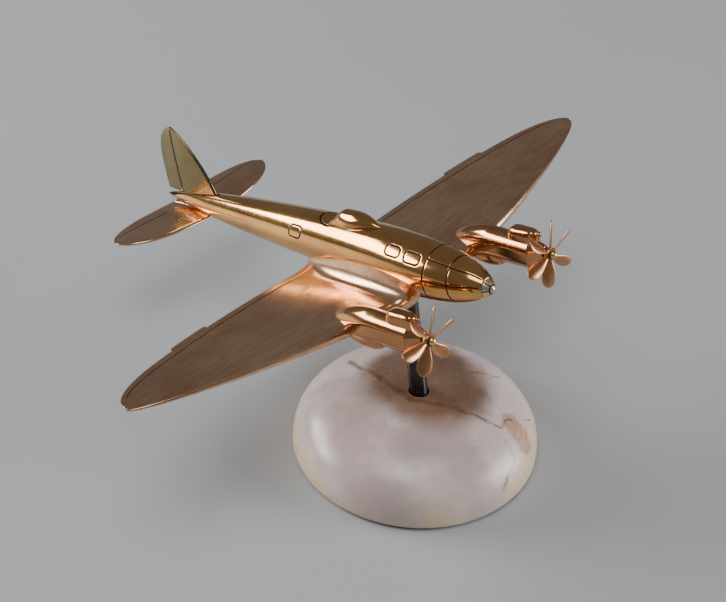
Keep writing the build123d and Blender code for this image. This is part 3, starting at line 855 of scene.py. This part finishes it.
def vein_group():
    """Distance to a straight line between two places, bent by noise: 1 on the vein and 0 away from it."""
    tree, n, given, result = new_group(
        "stone_vein",
        [("Coords", "NodeSocketVector", None), ("Start", "NodeSocketVector", (0, 0, 0)),
         ("End", "NodeSocketVector", (0, 0, 0)), ("Width", "NodeSocketFloat", 0.001),
         ("Softness", "NodeSocketFloat", 0.001)],
        [("Mask", "NodeSocketFloat")])
    coords, start, end = (given.outputs[key] for key in ("Coords", "Start", "End"))
    run = n.vector("SUBTRACT", end, start)
    off = n.vector("SUBTRACT", coords, start)
    share = n.math("DIVIDE", n.vector("DOT_PRODUCT", off, run), n.vector("DOT_PRODUCT", run, run), clamp=True)
    scaled = n.add("ShaderNodeVectorMath", operation="SCALE")
    n.join(run, scaled.inputs[0])
    n.join(share, scaled.inputs["Scale"])
    away = n.vector("LENGTH", n.vector("SUBTRACT", off, scaled.outputs[0]))
    reach = n.math("ADD", given.outputs["Width"], given.outputs["Softness"])
    n.join(n.span(away, given.outputs["Width"], reach, 1.0, 0.0), result.inputs["Mask"])
    return tree


POLISHED = polished_metal_group()
VEIN = vein_group()


def brass(name, metal, warm, stretch, streaks, gloss, tarnish):
    """Polished copper alloy in the given colour, with its own streak direction; for the fin that colour is a
    painted reflection.
    """
    material, n, shader = new_material(name)
    finish = use_group(n, POLISHED, Coords=n.here(), Cut=n.mark(), Metal=metal, Warm=warm,
                       Streak_Stretch=stretch, Streaks=streaks, Gloss=gloss, Tarnish=tarnish)
    n.join(finish.outputs["Colour"], shader.inputs["Base Color"])
    n.join(finish.outputs["Roughness"], shader.inputs["Roughness"])
    n.join(finish.outputs["Normal"], shader.inputs["Normal"])
    shader.inputs["Metallic"].default_value = 1.0
    return material


def gloss_black():
    """Black enamel on the post: deep gloss with faint dust and brush marks."""
    material, n, shader = new_material("post_black_enamel")
    here = n.here()
    dust = n.span(n.noise(here, 700.0, 4.0), 0.55, 0.75)
    n.join(n.mix(dust, (0.006, 0.006, 0.007, 1), (0.03, 0.028, 0.026, 1)), shader.inputs["Base Color"])
    n.join(n.math("ADD", 0.1, n.math("MULTIPLY", dust, 0.25)), shader.inputs["Roughness"])
    return material


def dark_felt():
    """Dark green-black felt: matted fibres and lint."""
    material, n, shader = new_material("felt_dark")
    here = n.here()
    fibre = n.noise(n.stretch(here, (1, 1, 0.4)), 2600.0, 4.0, 0.7)
    n.join(n.mix(n.span(fibre, 0.35, 0.7), (0.008, 0.012, 0.011, 1), (0.05, 0.065, 0.06, 1)),
           shader.inputs["Base Color"])
    shader.inputs["Roughness"].default_value = 0.95
    shader.inputs["Sheen Weight"].default_value = 0.4
    bump = n.add("ShaderNodeBump")
    bump.inputs["Distance"].default_value = 0.0003
    n.join(fibre, bump.inputs["Height"])
    n.join(bump.outputs[0], shader.inputs["Normal"])
    return material


def plain_steel():
    """Machined steel of the hidden fixings."""
    material, n, shader = new_material("fixing_steel")
    grain = n.noise(n.stretch(n.here(), (1, 1, 12)), 800.0, 3.0)
    n.join(n.mix(grain, (0.42, 0.42, 0.43, 1), (0.62, 0.62, 0.63, 1)), shader.inputs["Base Color"])
    n.join(n.math("ADD", 0.25, n.math("MULTIPLY", grain, 0.2)), shader.inputs["Roughness"])
    shader.inputs["Metallic"].default_value = 1.0
    return material


BROWN_ZONE_CENTRE = (0.007, 0.002, 0.024)
VEINS = (
    ((-3.0, 31.5, 21.2), (-4.8, 14.7, 25.3), 0.3, 1.6),
    ((-4.8, 14.7, 25.3), (-5.3, -0.6, 26.0), 0.4, 1.8),
    ((-5.3, -0.6, 26.0), (0.0, -10.3, 25.8), 0.35, 1.5),
    ((0.0, -10.3, 25.8), (5.8, -19.7, 24.5), 0.3, 0.8),
    ((5.8, -19.7, 24.5), (11.0, -29.7, 21.1), 0.3, 0.6),
    ((11.0, -29.7, 21.1), (15.3, -28.5, 20.8), 0.3, 0.7),
    ((15.3, -28.5, 20.8), (27.9, -30.6, 14.1), 0.2, 0.5),
    ((22.9, -4.8, 23.9), (27.6, -8.2, 22.3), 0.2, 0.7),
    ((27.6, -8.2, 22.3), (32.1, -11.9, 19.9), 0.25, 0.5),
    ((8.8, -34.2, 19.3), (7.7, -40.4, 14.5), 0.15, 0.5),
    ((7.7, -40.4, 14.5), (-0.4, -42.9, 11.9), 0.3, 1.2),
    ((-0.4, -42.9, 11.9), (-5.6, -44.1, 5.0), 0.3, 1.0),
    ((-20.0, 33.0, 15.0), (8.0, 38.0, 14.0), 0.3, 1.2),
    ((8.0, 38.0, 14.0), (27.0, 34.0, 8.0), 0.25, 0.9),
)


def onyx():
    """Polished banded stone: milky mauve body, honey rim, brown zone at the post, tan patch, veins."""
    material, n, shader = new_material("onyx_polished")
    here = n.here()
    bend = n.add("ShaderNodeTexNoise")
    n.join(here, bend.inputs["Vector"])
    bend.inputs["Scale"].default_value = 120.0
    bend.inputs["Detail"].default_value = 6.0
    bend.inputs["Roughness"].default_value = 0.6
    shift = n.add("ShaderNodeVectorMath", operation="MULTIPLY_ADD")
    n.join(n.vector("SUBTRACT", bend.outputs["Color"], (0.5, 0.5, 0.5)), shift.inputs[0])
    shift.inputs[1].default_value = (0.006, 0.006, 0.003)
    n.join(here, shift.inputs[2])
    bent = shift.outputs[0]
    clouds = n.noise(bent, 30.0, 5.0, 0.55)
    colour = n.mix(n.span(clouds, 0.38, 0.62), (0.53, 0.4, 0.4, 1), (0.72, 0.62, 0.61, 1))
    blush = n.span(n.noise(here, 17.0, 3.0), 0.48, 0.66)
    colour = n.mix(n.math("MULTIPLY", blush, 0.4), colour, (0.56, 0.37, 0.33, 1))
    parts = n.add("ShaderNodeSeparateXYZ")
    n.join(bent, parts.inputs[0])
    low = n.span(parts.outputs["Z"], 0.003, 0.02, 1.0, 0.0)
    honey = n.math("MULTIPLY", low, n.span(n.noise(here, 26.0, 4.0), 0.36, 0.6))
    colour = n.mix(n.math("MULTIPLY", honey, 0.85), colour, (0.7, 0.55, 0.3, 1))
    flat = n.vector("MULTIPLY", n.vector("SUBTRACT", bent, BROWN_ZONE_CENTRE), (1.0, 0.92, 0.7))
    reach = n.math("ADD", n.vector("LENGTH", flat), n.math("MULTIPLY", n.noise(here, 42.0, 3.0), 0.008))
    brown = n.span(reach, 0.0205, 0.031, 1.0, 0.0)
    depth = n.span(n.noise(bent, 75.0, 5.0, 0.6), 0.35, 0.68)
    tone = n.mix(depth, (0.115, 0.058, 0.026, 1), (0.2, 0.11, 0.055, 1))
    colour = n.mix(n.math("MULTIPLY", brown, 0.9), colour, tone)
    patch = use_group(n, VEIN, Coords=bent, Start=(0.0165, -0.030, 0.0185), End=(0.0165, -0.0365, 0.0145),
                      Width=0.0036, Softness=0.0016)
    fine = n.span(n.noise(n.stretch(here, (1, 1, 3)), 420.0, 3.0), 0.35, 0.7)
    tan = n.mix(fine, (0.4, 0.22, 0.13, 1), (0.56, 0.39, 0.25, 1))
    colour = n.mix(n.math("MULTIPLY", patch.outputs["Mask"], 0.85), colour, tan)
    broken = n.span(n.noise(here, 210.0, 3.0), 0.32, 0.56, 0.25, 1.0)
    for start, end, width, softness in VEINS:
        vein = use_group(n, VEIN, Coords=bent, Start=tuple(v * MM for v in start),
                         End=tuple(v * MM for v in end), Width=width * MM, Softness=softness * MM)
        strength = n.math("MULTIPLY", n.math("MULTIPLY", vein.outputs["Mask"], broken), 0.72)
        colour = n.mix(strength, colour, (0.12, 0.055, 0.025, 1))
    flecks = n.span(n.noise(here, 620.0, 1.0), 0.76, 0.8)
    colour = n.mix(n.math("MULTIPLY", flecks, n.math("MULTIPLY", brown, 0.5)), colour, (0.7, 0.6, 0.48, 1))
    spots = n.span(n.noise(n.stretch(here, (1, 1, 1), (0.5, 0.2, 0)), 520.0, 1.0), 0.785, 0.81)
    colour = n.mix(n.math("MULTIPLY", spots, 0.7), colour, (0.08, 0.05, 0.03, 1))
    # Painted shade: the drilled hole's wall and lip, carried by the cut mark, turn near-black.
    rim = n.span(n.mark(), 0.2, 0.8)
    colour = n.mix(rim, colour, (0.02, 0.015, 0.012, 1))
    n.join(colour, shader.inputs["Base Color"])
    haze = n.span(n.noise(here, 150.0, 4.0), 0.4, 0.7, 0.26, 0.38)
    n.join(haze, shader.inputs["Roughness"])
    shader.inputs["Subsurface Weight"].default_value = 0.2
    shader.inputs["Subsurface Radius"].default_value = (0.005, 0.0035, 0.003)
    shader.inputs["Subsurface Scale"].default_value = 1.0
    shader.inputs["Coat Weight"].default_value = 0.12
    shader.inputs["Coat Roughness"].default_value = 0.2
    return material


def pale_floor():
    """Pale, slightly mottled studio floor."""
    material, n, shader = new_material("studio_floor")
    here = n.here()
    cloud = n.noise(here, 3.0, 4.0)
    n.join(n.mix(cloud, (0.4, 0.41, 0.42, 1), (0.46, 0.468, 0.475, 1)), shader.inputs["Base Color"])
    shader.inputs["Roughness"].default_value = 0.4
    return material


# ------------------------------------------------------------------ the pieces
LENGTHWISE = (1.0, 0.12, 1.0)
GOLDEN = brass("brass_golden", (0.76, 0.43, 0.14, 1), (0.66, 0.31, 0.11, 1), LENGTHWISE, 0.14, 0.12, 0.4)
BRONZE = brass("bronze_wing", (0.84, 0.52, 0.31, 1), (0.68, 0.36, 0.2, 1), (0.07, 1.0, 1.0), 0.3, 0.19, 0.3)
# Painted reflection: the fin's dark olive stands in for the dark surroundings its sides reflect.
FIN_PAINTED_REFLECTION = brass("brass_fin_painted_reflection", (0.27, 0.215, 0.1, 1), (0.2, 0.15, 0.06, 1), (1.0, 1.0, 0.2), 0.2, 0.16, 0.3)
COPPERY = brass("bronze_cowling", (0.62, 0.32, 0.14, 1), (0.5, 0.22, 0.09, 1), LENGTHWISE, 0.15, 0.14, 0.65)
COPPER = brass("copper_blades", (0.74, 0.37, 0.17, 1), (0.56, 0.24, 0.1, 1), (1.0, 1.0, 1.0), 0.2, 0.25, 0.6)
PIN = brass("brass_pin", (0.92, 0.58, 0.2, 1), (0.8, 0.44, 0.14, 1), (1.0, 1.0, 1.0), 0.08, 0.2, 0.2)
WORN = brass("worn_nose_metal", (0.92, 0.8, 0.62, 1), (0.72, 0.54, 0.34, 1), (1.0, 1.0, 1.0), 0.25, 0.28, 0.4)
STEEL = plain_steel()

fuselage(GOLDEN)
nose_cap(WORN)
canopy(GOLDEN)
gondola(GOLDEN)
wings(BRONZE)
trim_tabs(BRONZE)
tailplanes(BRONZE)
fin(FIN_PAINTED_REFLECTION)
cowlings(COPPERY)
intake_fairings(COPPERY)
radiator_baths(COPPERY)
propellers(COPPER)
pins(PIN)
spacers(COPPERY)
stone(onyx())
felt(dark_felt())
post(gloss_black())
for hidden in ("base_stud", "base_washer", "base_nut", "belly_stud"):
    frame["nodes"][hidden].data.materials.clear()
    frame["nodes"][hidden].data.materials.append(STEEL)


# ------------------------------------------------------------------ stage, light and camera
def stage_floor():
    """Large flat floor under the felt."""
    mesh = bpy.data.meshes.new("floor")
    half = 6.0
    corners = [(-half, -half, 0), (half, -half, 0), (half, half, 0), (-half, half, 0)]
    mesh.from_pydata(corners, [], [(0, 1, 2, 3)])
    mesh.materials.append(pale_floor())
    floor = bpy.data.objects.new("floor", mesh)
    bpy.context.scene.collection.objects.link(floor)


def soft_light(name, azimuth, elevation, distance, width, height, power, colour=(1, 1, 1)):
    """Rectangular soft light aimed at the aircraft; azimuth 0 is -Y and 90 is +X."""
    aim = Vector((0, 0.03, 0.06))
    a, e = radians(azimuth), radians(elevation)
    away = Vector((sin(a) * cos(e), -cos(a) * cos(e), sin(e)))
    lamp = bpy.data.lights.new(name, "AREA")
    lamp.shape = "RECTANGLE"
    lamp.size = width
    lamp.size_y = height
    lamp.energy = power
    lamp.color = colour
    piece = bpy.data.objects.new(name, lamp)
    piece.location = aim + away * distance
    piece.rotation_euler = away.to_track_quat("Z", "Y").to_euler()
    piece.visible_camera = False
    bpy.context.scene.collection.objects.link(piece)


def surroundings(strength):
    """Even dim grey studio."""
    world = bpy.data.worlds.new("studio")
    world.use_nodes = True
    back = world.node_tree.nodes["Background"]
    back.inputs[0].default_value = (0.42, 0.44, 0.47, 1)
    back.inputs[1].default_value = strength
    bpy.context.scene.world = world


def camera():
    """Long lens from the starboard front, well above the nose."""
    right = Vector((0.69119, -0.72131, 0.04434))
    up = Vector((0.43670, 0.46578, 0.76964))
    data = bpy.data.cameras.new("camera")
    data.lens = 88.87
    data.sensor_width = 36.0
    data.sensor_fit = "HORIZONTAL"
    data.clip_start = 0.01
    piece = bpy.data.objects.new("camera", data)
    back = right.cross(up)
    matrix = Matrix((right, up, back)).transposed().to_4x4()
    matrix.translation = Vector((-0.37219, -0.30193, 0.46181))
    piece.matrix_world = matrix
    bpy.context.scene.collection.objects.link(piece)
    bpy.context.scene.camera = piece


stage_floor()
surroundings(0.4)
soft_light("window_left", -152, 22, 1.6, 1.1, 0.5, 28)
soft_light("window_right", 40, 10, 1.6, 0.8, 1.1, 30)
soft_light("overhead", -70, 72, 1.5, 0.7, 0.7, 8)
camera()
